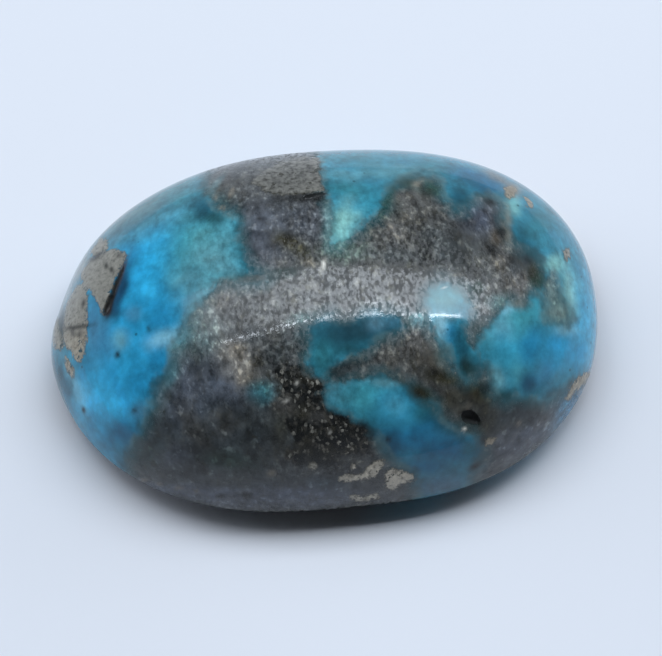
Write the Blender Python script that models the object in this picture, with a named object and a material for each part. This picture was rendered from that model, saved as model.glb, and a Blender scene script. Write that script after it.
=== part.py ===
"""A polished oval turquoise in grey, pyrite-bearing matrix, ground and polished as one domed stone.

The stone is one closed solid that rests on a flat back. Run this with
blender --background --python part.py, or from Blender's text editor.
Its frame is +Z up and +X along the stone's length. The origin is under its middle, on the flat back.
"""

import math

import bmesh
import bpy
from mathutils import Matrix, Vector

MM = 0.001

# Driving dimensions.
LENGTH = 25.35 * MM
WIDTH = 18.6 * MM
HEIGHT = 8.2 * MM
GIRDLE_HEIGHT = 1.5 * MM  # the widest outline, above the flat back
BACK_DROP = 2.1 * MM  # how far below the girdle the round underside would reach if it weren't ground flat

# How full the curves are: 2 is an ellipse, and more is squarer.
OUTLINE_POWER = 2.15
DOME_POWER = 2.1

# Slow waves that hand grinding left round the outline: (how many, share of the radius, degrees to a crest).
OUTLINE_WAVES = ((2, 0.005, 12), (3, 0.007, 40), (4, 0.012, 37), (5, 0.0065, 22))

# Broad swellings (+) and flats (-) of the hand-ground surface:
# (degrees round from +X, degrees above the girdle, degrees of spread, height).
SWELLINGS = (
    (177, 8, 10, 0.26 * MM),
    (165, 13, 9, -0.25 * MM),
    (22, 48, 20, -0.10 * MM),
    (205, 50, 22, -0.09 * MM),
    (118, 34, 17, 0.07 * MM),
    (292, 30, 19, -0.07 * MM),
    (338, 16, 13, 0.09 * MM),
)

# Pits that the polish didn't reach: (x, y, length, width, depth, degrees its length is turned from level).
PITS = {
    "crevice": (-9.50 * MM, 0.96 * MM, 2.60 * MM, 0.24 * MM, 0.20 * MM, -25),
    "crevice_mouth": (-9.84 * MM, 0.28 * MM, 1.20 * MM, 0.38 * MM, 0.26 * MM, -33),
    "front_pit": (5.54 * MM, -7.35 * MM, 0.95 * MM, 0.64 * MM, 0.34 * MM, -52),
    "back_pit": (-0.07 * MM, 3.55 * MM, 1.10 * MM, 0.40 * MM, 0.18 * MM, 17),
}

CELLS_ACROSS = 60  # how finely the sheet that wraps the stone is divided
STONE_BLUE = (0.045, 0.29, 0.44, 1.0)
STONE_ROUGHNESS = 0.18


def outline_reach(angle):
    """How far the widest outline is from the middle, in this direction round from +X."""
    along = abs(math.cos(angle) / (LENGTH / 2)) ** OUTLINE_POWER
    across = abs(math.sin(angle) / (WIDTH / 2)) ** OUTLINE_POWER
    waves = sum(
        share * math.cos(count * (angle - math.radians(crest)))
        for count, share, crest in OUTLINE_WAVES
    )
    return (along + across) ** (-1 / OUTLINE_POWER) * (1 + waves)


def unit_vector(turn, rise):
    """The direction this far round from +X and this far above level."""
    return Vector(
        (math.cos(rise) * math.cos(turn), math.cos(rise) * math.sin(turn), math.sin(rise))
    )


def swelling(direction):
    """How far the surface stands out (+) or in (-) from the smooth dome in this direction."""
    total = 0.0
    for turn, rise, spread, height in SWELLINGS:
        centre = unit_vector(math.radians(turn), math.radians(rise))
        apart = math.degrees(direction.angle(centre))
        total += height * math.exp(-0.5 * (apart / spread) ** 2)
    return total


def surface_point(direction):
    """The point of the stone's surface in this direction from the girdle's middle."""
    flat = math.hypot(direction.x, direction.y)
    angle = math.atan2(direction.y * WIDTH, direction.x * LENGTH)
    scale = (flat**DOME_POWER + abs(direction.z) ** DOME_POWER) ** (-1 / DOME_POWER)
    reach = outline_reach(angle) * scale * flat
    rise = HEIGHT - GIRDLE_HEIGHT if direction.z > 0 else BACK_DROP
    point = Vector(
        (
            reach * math.cos(angle),
            reach * math.sin(angle),
            GIRDLE_HEIGHT + rise * scale * direction.z,
        )
    )
    return point + direction * swelling(direction)


def back_rim_fall():
    """How far below level the direction to the flat back's rim is."""
    drop = GIRDLE_HEIGHT / BACK_DROP
    inset = (1 - drop**DOME_POWER) ** (1 / DOME_POWER)
    return math.atan2(drop, inset)


def wrap_direction(u, v):
    """Where a point of the flat sheet, from -1 to 1 each way, is wrapped to: its edge, to the back's rim."""
    out = max(abs(u), abs(v))
    if out == 0:
        return Vector((0, 0, 1))
    if abs(u) >= abs(v):
        turn = math.pi / 4 * v / u + (math.pi if u < 0 else 0)
    else:
        turn = math.pi / 2 - math.pi / 4 * u / v + (math.pi if v < 0 else 0)
    return unit_vector(turn, math.pi / 2 - out * (math.pi / 2 + back_rim_fall()))


def wrapped_stone():
    """A square sheet wrapped over the dome and under its edge, with one flat face closing the back."""
    shape = bmesh.new()
    bmesh.ops.create_grid(shape, x_segments=CELLS_ACROSS, y_segments=CELLS_ACROSS, size=1.0)
    for vertex in shape.verts:
        vertex.co = surface_point(wrap_direction(vertex.co.x, vertex.co.y))
    rim = [edge for edge in shape.edges if edge.is_boundary]
    for vertex in {vertex for edge in rim for vertex in edge.verts}:
        vertex.co.z = 0.0
    bmesh.ops.holes_fill(shape, edges=rim)
    bmesh.ops.recalc_face_normals(shape, faces=shape.faces)
    return shape


def centre_over_origin(shape):
    """Moves the stone so that the box round its outline is centred on the origin."""
    for axis in (0, 1):
        places = [vertex.co[axis] for vertex in shape.verts]
        middle = (min(places) + max(places)) / 2
        for vertex in shape.verts:
            vertex.co[axis] -= middle


def new_collection(name):
    made = bpy.data.collections.new(name)
    bpy.context.scene.collection.children.link(made)
    return made


def new_object(name, shape, collection):
    mesh = bpy.data.meshes.new(name)
    shape.to_mesh(mesh)
    shape.free()
    made = bpy.data.objects.new(name, mesh)
    collection.objects.link(made)
    return made


def stone_material():
    material = bpy.data.materials.new("turquoise_in_matrix")
    material.use_nodes = True
    shader = material.node_tree.nodes["Principled BSDF"]
    shader.inputs["Base Color"].default_value = STONE_BLUE
    shader.inputs["Roughness"].default_value = STONE_ROUGHNESS
    shader.inputs["Metallic"].default_value = 0.0
    return material


def make_stone():
    shape = wrapped_stone()
    centre_over_origin(shape)
    stone = new_object("polished_turquoise", shape, new_collection("Turquoise cabochon"))
    stone.data.materials.append(stone_material())
    stone.data.shade_smooth()
    stone.data.set_sharp_from_angle(angle=math.radians(35))
    return stone


def cut_pit(stone, name, pit, collection):
    """Cuts one pit with an egg-shaped cutter, half sunk, whose length and width show at the surface."""
    x, y, length, width, depth, turn = pit
    _, place, normal, _ = stone.ray_cast((x, y, 2 * HEIGHT), (0, 0, -1))
    shape = bmesh.new()
    bmesh.ops.create_uvsphere(shape, u_segments=14, v_segments=8, radius=0.5)
    bmesh.ops.scale(shape, verts=shape.verts, vec=(length, width, 2 * depth))
    cutter = new_object(f"{name}_cutter", shape, collection)
    level = normal.to_track_quat("Z", "Y").to_matrix().to_4x4()
    cutter.matrix_world = Matrix.Translation(place) @ level @ Matrix.Rotation(math.radians(turn), 4, "Z")
    cutter.display_type = "WIRE"
    cutter.hide_render = True
    cut = stone.modifiers.new(name, "BOOLEAN")
    cut.operation = "DIFFERENCE"
    cut.solver = "EXACT"
    cut.object = cutter


def main():
    for old in list(bpy.data.objects):
        bpy.data.objects.remove(old)
    stone = make_stone()
    bpy.context.view_layer.update()
    cutters = new_collection("Cutters")
    for name, pit in PITS.items():
        cut_pit(stone, name, pit, cutters)


main()
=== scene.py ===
"""The looks of the polished turquoise cabochon.

One fine mesh of the same shape stands for the CAD stone. The pattern on the side that the camera sees is laid
out in millimetres on a picture plane through the stone, and noise continues it over the other sides.
"""

import math

import bmesh
import bpy
import numpy as np
from mathutils import Matrix, Vector, noise
from mathutils.bvhtree import BVHTree


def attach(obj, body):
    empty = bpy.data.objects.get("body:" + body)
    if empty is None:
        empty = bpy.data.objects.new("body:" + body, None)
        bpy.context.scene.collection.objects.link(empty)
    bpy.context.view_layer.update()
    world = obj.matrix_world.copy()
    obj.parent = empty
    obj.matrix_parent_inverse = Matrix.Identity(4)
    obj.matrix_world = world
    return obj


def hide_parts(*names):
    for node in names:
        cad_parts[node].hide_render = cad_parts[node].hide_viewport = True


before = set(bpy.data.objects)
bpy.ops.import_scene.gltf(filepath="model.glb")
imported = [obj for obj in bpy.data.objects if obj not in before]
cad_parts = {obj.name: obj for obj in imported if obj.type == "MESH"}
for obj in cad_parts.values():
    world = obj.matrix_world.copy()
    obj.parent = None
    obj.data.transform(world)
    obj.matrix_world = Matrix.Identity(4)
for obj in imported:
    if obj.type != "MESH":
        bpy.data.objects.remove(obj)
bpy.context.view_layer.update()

MM = 0.001
NODE = "polished_turquoise"

# The stone's shape, as in the CAD source.
LENGTH = 25.35 * MM
WIDTH = 18.6 * MM
HEIGHT = 8.2 * MM
GIRDLE_HEIGHT = 1.5 * MM
BACK_DROP = 2.1 * MM
OUTLINE_POWER = 2.15
DOME_POWER = 2.1
OUTLINE_WAVES = ((2, 0.005, 12), (3, 0.007, 40), (4, 0.012, 37), (5, 0.0065, 22))
SWELLINGS = (
    (177, 8, 10, 0.26 * MM),
    (165, 13, 9, -0.25 * MM),
    (22, 48, 20, -0.10 * MM),
    (205, 50, 22, -0.09 * MM),
    (118, 34, 17, 0.07 * MM),
    (292, 30, 19, -0.07 * MM),
    (338, 16, 13, 0.09 * MM),
)

# Pits that the polish didn't reach: (x, y, length, width, depth, degrees its length is turned from level).
PITS = {
    "crevice": (-9.50 * MM, 0.96 * MM, 2.60 * MM, 0.24 * MM, 0.20 * MM, -25),
    "crevice_mouth": (-9.84 * MM, 0.28 * MM, 1.20 * MM, 0.38 * MM, 0.26 * MM, -33),
    "front_pit": (5.54 * MM, -7.35 * MM, 0.95 * MM, 0.64 * MM, 0.34 * MM, -52),
    "back_pit": (-0.07 * MM, 3.55 * MM, 1.10 * MM, 0.40 * MM, 0.18 * MM, 17),
}
PIT_RIM_WAVES = 2.7  # to a mm
PIT_RIM_UNEVENNESS = 0.45
PIT_SEARCH = 1.6  # the square of how far out an uneven rim may reach, where an even one is at 1
# The pits are painted darker the deeper they are, as painted shade.
PIT_LOOK_DEPTH = 0.03 * MM  # this far down in a pit, the stone is as dark as it gets there

CELLS_ACROSS = 298
PIT_CUTS = 3  # each cell's edge in and round a pit is cut this many times more
PIT_CUT_REACH = 0.6  # of the pit's length, from its middle
SHARP_ANGLE = math.radians(35)

PYRITE_PROUD = 0.02 * MM  # the hard pyrite stands this far above the softer stone round it
PROUD_AT_OUTLINE = 0.3  # as a share of that
PYRITE_SHOULDER = 0.15  # mm in which it would rise from nothing to its whole height

# The camera. The picture plane of the pattern goes through the stone's mid height, square to its line of sight.
VIEW_AZIMUTH = math.radians(-7.5)
VIEW_ELEVATION = math.radians(57)
VIEW_DISTANCE = 160 * MM
VIEW_LENS = 190.4  # mm
SENSOR_WIDTH = 36  # mm
NEAREST_SEEN = 10 * MM
PICTURE_MIDDLE = (0.24 * MM, -1.07 * MM)  # the picture's middle, right and up of the stone's

# Colours, as red, green and blue from 0 to 255 on a screen.
PALETTE = {
    "azure": (36, 148, 190), "bright": (42, 162, 206), "sky": (58, 184, 228), "cerulean": (26, 126, 168),
    "deep": (10, 94, 128), "navy": (14, 64, 92), "steel": (58, 122, 154), "lagoon": (50, 128, 148),
    "aqua": (62, 146, 158), "teal": (74, 144, 152), "sea": (44, 112, 122), "ink": (24, 82, 98),
    "pool": (32, 72, 84), "petrol": (8, 92, 108), "dark_teal": (28, 70, 74), "dusk": (70, 106, 126),
    "mint": (134, 190, 184), "pale": (106, 160, 168), "milk": (140, 196, 212), "mist": (84, 138, 148),
    "haze": (110, 142, 142), "grey": (76, 77, 75), "slate": (50, 56, 58), "blue_grey": (79, 85, 96),
    "ash": (108, 106, 102), "moss_grey": (88, 108, 98), "lichen": (98, 118, 113), "umber": (44, 42, 33),
    "rust": (64, 44, 40), "brown": (80, 71, 59), "taupe": (84, 80, 72), "sand": (138, 128, 112),
    "bone": (226, 222, 210), "olive": (50, 47, 32), "green": (36, 62, 52), "pine": (30, 50, 48),
    "char": (17, 19, 18), "pyrite": (145, 142, 132), "dull_pyrite": (108, 107, 101),
    "tan_pyrite": (162, 152, 134),
}

# Turquoise, outlined on the picture plane: (x, y) in mm, right and up of the stone's middle.
TURQUOISE = {
    "left_field": (
        (-5.5, 7.2), (-5.7, 5.6), (-5.6, 5.1), (-5.2, 4.8), (-5.1, 4.3), (-4.5, 4.2), (-4.1, 4.0),
        (-4.0, 3.5), (-4.1, 3.0), (-3.9, 2.5), (-3.6, 2.0), (-3.3, 1.5), (-2.6, 1.2), (-3.2, 1.0),
        (-4.0, 1.0), (-4.6, 1.2), (-5.0, 1.0), (-5.3, 0.7), (-5.5, 0.3), (-5.9, -0.1), (-6.3, -0.6),
        (-6.5, -1.1), (-6.7, -1.6), (-7.1, -2.0), (-7.1, -2.5), (-7.3, -3.1), (-7.7, -3.5), (-7.9, -3.9),
        (-8.0, -4.5), (-8.3, -5.1), (-8.4, -5.7), (-8.8, -6.2), (-9.1, -6.7), (-9.1, -7.4), (-9.4, -9.5),
        (-15.0, -7.0), (-15.0, 5.0), (-9.0, 7.0),
    ),
    "top_field": (
        (-0.3, 8.5), (-0.3, 6.9), (-0.2, 6.2), (-0.1, 5.7), (0.0, 5.3), (0.15, 4.8), (0.35, 4.3), (0.45, 3.9),
        (0.35, 3.4), (0.3, 2.9), (0.45, 2.7), (0.9, 2.95), (1.1, 3.2), (1.5, 3.5), (1.9, 3.85), (2.3, 4.1),
        (2.5, 4.4), (2.6, 4.8), (2.8, 5.3), (3.3, 5.7), (3.9, 5.95), (4.6, 6.0), (5.1, 5.95), (5.45, 5.6),
        (5.5, 5.0), (5.7, 4.6), (6.1, 4.45), (6.5, 4.55), (6.8, 5.0), (7.3, 5.1), (7.9, 5.0), (8.15, 4.7),
        (8.25, 4.3), (8.4, 3.8), (8.55, 3.3), (8.65, 2.85), (9.1, 2.7), (9.6, 2.5), (9.85, 2.1), (9.95, 1.6),
        (9.95, 1.1), (9.75, 0.6), (9.4, 0.35), (9.35, -0.05), (8.9, -0.15), (8.5, 0.0), (8.15, 0.0),
        (7.9, -0.5), (7.6, -0.85), (7.3, -1.2), (7.0, -1.6), (6.75, -1.85), (6.7, -2.4), (7.0, -2.8),
        (7.4, -2.75), (7.55, -3.1), (7.55, -3.7), (7.8, -4.1), (8.2, -4.4), (8.6, -4.15), (9.2, -4.25),
        (9.9, -4.4), (10.5, -4.15), (11.0, -3.75), (11.4, -3.45), (11.9, -3.2), (13.5, -3.4), (15.0, 2.0),
        (11.0, 7.5),
    ),
    "middle_pool": (
        (-0.9, -1.2), (-0.4, -0.8), (-0.1, -0.55), (0.3, -0.6), (0.6, -0.8), (1.0, -0.85), (1.5, -0.6),
        (2.1, -0.35), (3.0, -0.35), (3.5, -0.6), (3.5, -1.0), (3.1, -1.3), (2.5, -1.4), (2.2, -1.75),
        (1.8, -2.1), (1.4, -2.4), (0.8, -2.6), (0.4, -2.85), (0.1, -3.2), (-0.2, -3.35), (-0.5, -3.2),
        (-0.75, -2.8), (-0.8, -2.2), (-0.75, -1.6),
    ),
    "middle_strip": (
        (4.6, 0.4), (5.0, 0.85), (5.4, 0.95), (5.9, 0.75), (6.3, 0.45), (6.5, 0.0), (6.7, -0.4), (6.6, -0.8),
        (6.35, -1.2), (6.5, -1.7), (6.8, -2.0), (7.2, -2.3), (7.2, -2.8), (6.8, -3.1), (6.5, -3.5),
        (6.15, -3.3), (5.95, -2.9), (5.75, -2.5), (5.6, -2.1), (5.4, -1.7), (5.1, -1.4), (4.9, -1.0),
        (4.7, -0.5), (4.6, 0.0),
    ),
    "lower_field": (
        (-0.1, -4.3), (0.0, -3.7), (0.4, -3.6), (0.9, -3.65), (1.3, -3.5), (1.7, -3.65), (2.0, -3.4),
        (2.4, -3.25), (3.0, -3.4), (3.5, -3.65), (3.9, -3.95), (4.1, -4.3), (4.5, -4.5), (4.9, -4.65),
        (5.15, -5.0), (5.4, -5.4), (5.8, -5.65), (6.3, -5.85), (6.8, -6.05), (7.15, -6.5), (7.15, -6.9),
        (6.8, -7.4), (6.6, -7.9), (6.4, -9.5), (4.3, -9.5), (4.2, -8.3), (4.1, -7.7), (3.6, -7.4),
        (3.1, -7.1), (2.8, -6.7), (2.5, -6.2), (2.1, -5.7), (1.7, -5.4), (1.3, -5.3), (1.0, -5.0),
        (0.5, -4.85), (0.1, -4.65),
    ),
}

# Islands of rock inside the turquoise.
ROCK_ISLANDS = {
    "right_island": (
        (10.0, 1.3), (10.35, 1.5), (10.6, 1.2), (10.75, 0.8), (10.8, 0.4), (11.0, 0.1), (11.25, -0.3),
        (11.35, -0.7), (11.2, -1.0), (10.8, -1.05), (10.4, -0.95), (10.1, -0.8), (9.85, -0.55), (9.9, -0.1),
        (10.05, 0.3), (9.95, 0.7), (9.9, 1.0),
    ),
}

# Pyrite, the same way.
PYRITE = {
    "left_upper": (
        (-9.05, 2.35), (-9.2, 2.0), (-9.42, 1.5), (-9.66, 0.9), (-9.9, 0.3), (-10.1, -0.3), (-10.2, -0.5),
        (-10.35, -0.15), (-10.5, 0.3), (-10.85, 0.65), (-11.15, 0.9), (-11.15, 1.4), (-10.95, 1.8),
        (-10.6, 2.1), (-10.3, 2.35), (-9.9, 2.5), (-9.5, 2.5),
    ),
    "left_lower": (
        (-11.0, 0.75), (-10.85, 0.2), (-10.95, -0.3), (-10.9, -0.8), (-10.95, -1.3), (-10.95, -1.9),
        (-11.05, -2.35), (-11.3, -2.65), (-11.55, -2.3), (-11.7, -1.95), (-11.95, -1.75), (-12.0, -1.2),
        (-11.95, -0.6), (-11.9, -0.1), (-11.7, 0.35), (-11.5, 0.7), (-11.3, 1.0),
    ),
    "left_limb": (
        (-12.5, -0.6), (-12.2, -0.5), (-12.15, -1.0), (-12.05, -1.5), (-12.0, -1.9), (-12.2, -2.15),
        (-12.5, -1.9),
    ),
    "left_sliver": (
        (-11.95, -2.4), (-11.75, -2.45), (-11.6, -2.9), (-11.5, -3.3), (-11.65, -3.3), (-11.85, -2.9),
    ),
    "left_top": ((-10.75, 2.25), (-10.3, 2.3), (-9.95, 2.6), (-10.0, 2.95), (-10.3, 3.0), (-10.6, 2.65)),
    "top": (
        (-3.5, 5.6), (-3.2, 5.85), (-2.9, 6.05), (-2.6, 6.25), (-2.2, 6.4), (-1.7, 6.6), (-1.2, 6.7),
        (-0.7, 6.8), (-0.35, 6.7), (-0.3, 6.3), (-0.3, 5.9), (-0.2, 5.5), (-0.1, 5.3), (-0.4, 5.15),
        (-0.8, 5.1), (-1.3, 5.05), (-1.9, 5.0), (-2.3, 5.0), (-2.6, 5.15), (-2.9, 5.3), (-3.1, 5.5),
    ),
    "low_left": (
        (2.55, -7.05), (2.7, -7.3), (2.5, -7.45), (2.45, -7.7), (2.1, -7.9), (1.5, -8.05), (1.0, -8.1),
        (0.5, -8.0), (0.4, -7.9), (0.9, -7.85), (1.15, -7.7), (1.3, -7.85), (1.65, -7.8), (1.85, -7.5),
        (2.1, -7.3),
    ),
    "low_right": (
        (2.85, -7.6), (3.1, -7.5), (3.5, -7.6), (3.9, -7.75), (4.1, -8.0), (3.8, -8.1), (3.4, -8.2),
        (3.2, -8.4), (2.85, -8.45), (2.7, -8.1),
    ),
    "low_limb": (
        (1.0, -8.75), (1.5, -8.7), (2.0, -8.75), (2.4, -8.55), (2.5, -8.9), (1.9, -9.0), (1.2, -9.0),
    ),
    "low_chip": ((1.1, -7.45), (1.3, -7.35), (1.4, -7.5), (1.2, -7.6)),
    "low_grain": ((-0.9, -7.5), (-0.75, -7.3), (-0.5, -7.2), (-0.4, -7.4), (-0.55, -7.6), (-0.8, -7.55)),
    "right_grain": ((7.25, -6.35), (7.4, -6.1), (7.75, -6.0), (7.8, -6.15), (7.6, -6.4), (7.35, -6.45)),
    "upper_right_a": ((8.25, 5.45), (8.5, 5.4), (8.7, 5.3), (8.65, 5.0), (8.4, 4.9), (8.25, 5.1)),
    "upper_right_b": ((9.0, 4.95), (9.25, 4.85), (9.5, 4.5), (9.35, 4.4), (9.15, 4.6)),
    "right_limb": (
        (12.0, -3.0), (11.6, -3.3), (11.25, -3.7), (10.95, -4.3), (11.1, -4.4), (11.4, -4.0), (11.8, -3.6),
        (12.1, -3.2),
    ),
    "right_dot": ((10.85, 2.5), (11.05, 2.55), (11.15, 2.2), (11.0, 2.0), (10.85, 2.15)),
}

# Near-black rock that is full of metallic grains.
DARK = {
    "middle": (
        (-2.3, -2.9), (-1.9, -2.75), (-1.3, -2.85), (-0.8, -3.1), (-0.4, -3.4), (-0.15, -3.9), (0.1, -4.65),
        (0.6, -4.9), (1.0, -5.05), (1.3, -5.4), (1.8, -5.4), (2.05, -5.75), (2.0, -6.2), (1.9, -6.6),
        (1.6, -7.0), (1.0, -7.2), (0.3, -7.35), (-0.3, -7.1), (-1.0, -7.1), (-1.7, -7.05), (-1.5, -6.4),
        (-1.5, -5.9), (-1.6, -5.4), (-1.9, -5.0), (-2.4, -4.8), (-2.15, -4.3), (-2.2, -3.7), (-2.0, -3.3),
    ),
}

# Soft ovals of colour, laid one on another, some of them painted shade, one a painted highlight and two a painted
# reflection:
# (colour, x, y, half width, half height, strength, degrees of turn if it's turned).
TURQUOISE_TINTS = (
    # The left field, from its blue middle outwards.
    ("azure", -9.0, -1.0, 1.9, 5.4, 1.0, -12), ("bright", -8.0, 1.9, 0.7, 1.5, 0.85, -14),
    ("sky", -7.9, 0.6, 0.4, 0.35, 0.6), ("cerulean", -7.4, -0.5, 0.9, 0.7, 0.6),
    ("teal", -5.5, 2.6, 1.35, 1.7, 1.0), ("pale", -5.1, 2.1, 0.9, 0.8, 0.55, -20),
    ("aqua", -6.6, 2.4, 0.5, 1.3, 0.5, -10), ("mist", -6.2, 0.9, 0.7, 0.9, 0.9),
    ("mist", -4.5, 3.4, 0.5, 0.8, 0.35), ("mist", -4.7, 1.7, 0.9, 0.35, 0.7, -25),
    ("pale", -5.9, 0.0, 0.3, 1.0, 0.7, -28), ("mist", -8.1, 4.5, 3.0, 0.9, 1.0, 32),
    ("ink", -8.6, 4.3, 2.4, 0.6, 0.9, 34), ("haze", -8.2, 4.75, 2.6, 0.45, 0.6, 33),
    ("sea", -7.2, 5.4, 1.8, 0.35, 0.8, 26), ("sea", -6.5, 4.9, 1.0, 0.3, 0.7, 28),
    ("ink", -5.6, 4.35, 0.65, 0.5, 1.0), ("dark_teal", -5.15, 3.95, 0.4, 0.25, 0.85),
    ("pine", -3.4, 1.15, 1.05, 0.24, 1.0, 5), ("navy", -9.4, 0.7, 0.28, 1.3, 1.0, -22),
    ("navy", -9.6, -0.35, 0.22, 0.3, 0.7), ("steel", -10.5, -1.1, 0.5, 1.3, 1.0),
    ("steel", -9.9, -1.9, 0.35, 0.6, 0.6, 20), ("pale", -9.35, -1.6, 0.35, 0.4, 0.75, -20),
    ("dusk", -8.85, -0.4, 0.35, 0.3, 0.5), ("milk", -7.4, -1.65, 0.65, 0.36, 0.8, 14),
    ("cerulean", -7.6, -2.6, 0.55, 0.7, 0.8), ("mist", -7.2, -3.2, 0.2, 0.7, 0.5, -18),
    ("milk", -6.75, -1.5, 0.25, 0.45, 0.6, -18), ("sky", -10.2, -4.4, 1.2, 0.6, 1.0, -8),
    ("bright", -9.7, -3.9, 0.9, 0.8, 0.6), ("cerulean", -8.5, -3.7, 0.6, 0.7, 0.6),
    ("dusk", -8.45, -4.9, 0.4, 0.4, 0.6), ("deep", -9.3, -6.0, 0.7, 0.5, 0.95, -20),
    ("ink", -8.9, -7.1, 0.6, 0.8, 0.9), ("milk", -11.5, -3.7, 0.3, 1.2, 0.5, 25),
    # The ink oval at (-12.15, -3.4) is painted shade along the left rim.
    ("pine", -12.05, -0.9, 0.14, 0.9, 0.9), ("ink", -12.15, -3.4, 0.4, 1.1, 1.0, 25),
    # The field that runs along the back and down the right.
    ("aqua", 1.5, 4.9, 0.9, 0.7, 0.5), ("ink", 1.5, 5.3, 1.1, 0.4, 0.25),
    ("mint", 0.8, 3.75, 0.6, 0.8, 1.0, -22), ("lagoon", 1.2, 4.5, 0.55, 0.35, 0.9),
    ("sea", 0.6, 5.4, 0.9, 0.3, 1.0, -5), ("mist", 1.6, 5.95, 1.6, 0.3, 0.8),
    ("sea", 1.4, 6.7, 1.6, 0.3, 0.7), ("mist", 3.5, 6.15, 1.0, 0.25, 0.8),
    ("sea", 5.2, 6.25, 1.1, 0.3, 0.9, -8), ("deep", 7.0, 5.7, 1.2, 0.35, 0.9, -20),
    ("ink", 6.15, 5.0, 0.5, 0.45, 0.95), ("ink", 6.8, 5.5, 0.8, 0.3, 0.5, -12),
    ("deep", 7.5, 5.3, 0.5, 0.25, 0.8), ("mint", 8.55, 4.55, 0.3, 0.42, 0.75),
    ("ink", 9.1, 3.2, 0.4, 0.45, 0.95), ("sea", 9.75, 3.7, 0.6, 0.8, 0.7, -20),
    ("mint", 10.4, 1.85, 0.45, 0.35, 0.9), ("mint", 11.2, 0.3, 0.32, 1.2, 0.7, 8),
    ("sky", 11.9, -0.9, 0.5, 2.2, 0.5), ("aqua", 8.8, -0.9, 1.4, 1.0, 1.0, 20),
    ("milk", 8.0, -1.1, 0.5, 0.55, 0.35, 30), ("milk", 8.15, -0.15, 0.4, 0.3, 0.6),
    ("cerulean", 9.4, -1.9, 0.5, 0.8, 0.85, -20), ("aqua", 8.3, -2.4, 0.6, 0.6, 0.8),
    ("bright", 8.4, -2.1, 0.7, 0.8, 0.35), ("pale", 7.85, -3.4, 0.3, 0.6, 0.85, 15),
    ("teal", 8.7, -3.2, 0.4, 0.5, 0.6), ("navy", 9.25, -3.6, 0.4, 0.42, 0.85),
    ("steel", 10.1, -3.1, 0.45, 0.6, 0.8, -20), ("azure", 10.8, -2.1, 0.9, 0.8, 0.8),
    ("milk", 11.0, -1.2, 0.5, 0.25, 0.5), ("ink", 10.6, -4.0, 0.8, 0.2, 0.7, 12),
    ("dark_teal", 8.15, -4.2, 0.4, 0.25, 1.0), ("lagoon", 7.3, -2.3, 0.45, 0.5, 0.8),
    ("green", 9.85, 1.3, 0.2, 0.5, 0.8),
    # The pool under the highlight, and the strip to the right of it.
    ("pool", 0.9, -1.3, 1.9, 0.75, 1.0), ("sea", -0.1, -2.5, 0.55, 0.9, 0.95),
    ("dark_teal", 1.0, -2.1, 0.55, 0.3, 0.55, 20), ("dusk", 2.35, -0.95, 0.5, 0.35, 0.6),
    ("milk", 2.3, -0.9, 0.4, 0.25, 0.2), ("dusk", 3.2, -0.9, 0.4, 0.3, 0.5),
    ("mint", 5.4, 0.35, 0.9, 0.5, 0.35), ("milk", 5.15, -0.95, 0.38, 0.55, 0.85, 15),
    ("cerulean", 5.75, -1.35, 0.3, 0.4, 0.7), ("ink", 6.2, -2.0, 0.35, 0.7, 0.95, 10),
    ("pine", 6.55, -2.95, 0.45, 0.55, 1.0),
    # The field at the front.
    ("mist", 0.6, -4.15, 0.8, 0.5, 0.5), ("aqua", 1.9, -4.3, 0.9, 0.7, 1.0),
    ("pale", 2.6, -3.55, 0.6, 0.22, 0.8, -12), ("aqua", 3.2, -4.8, 0.9, 0.6, 0.8, -30),
    ("sky", 3.3, -4.7, 0.9, 0.6, 0.6, -30), ("pale", 3.2, -4.6, 0.6, 0.5, 0.3, -30),
    ("sea", 4.5, -5.0, 0.5, 0.4, 0.8, -35), ("ink", 5.0, -5.4, 0.5, 0.28, 0.95, -38),
    ("cerulean", 4.3, -6.1, 1.6, 0.6, 0.85), ("navy", 3.05, -6.4, 0.5, 0.55, 0.75),
    ("deep", 5.7, -6.6, 1.6, 0.5, 0.95), ("petrol", 6.7, -6.6, 0.45, 0.4, 0.9),
    ("ink", 5.9, -5.85, 0.7, 0.25, 0.85, -38), ("deep", 4.6, -7.4, 0.9, 0.35, 0.9),
    ("dusk", 5.3, -8.3, 1.4, 0.45, 0.9, 8), ("sea", 4.4, -3.95, 0.3, 0.2, 0.5, -30),
)
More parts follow.
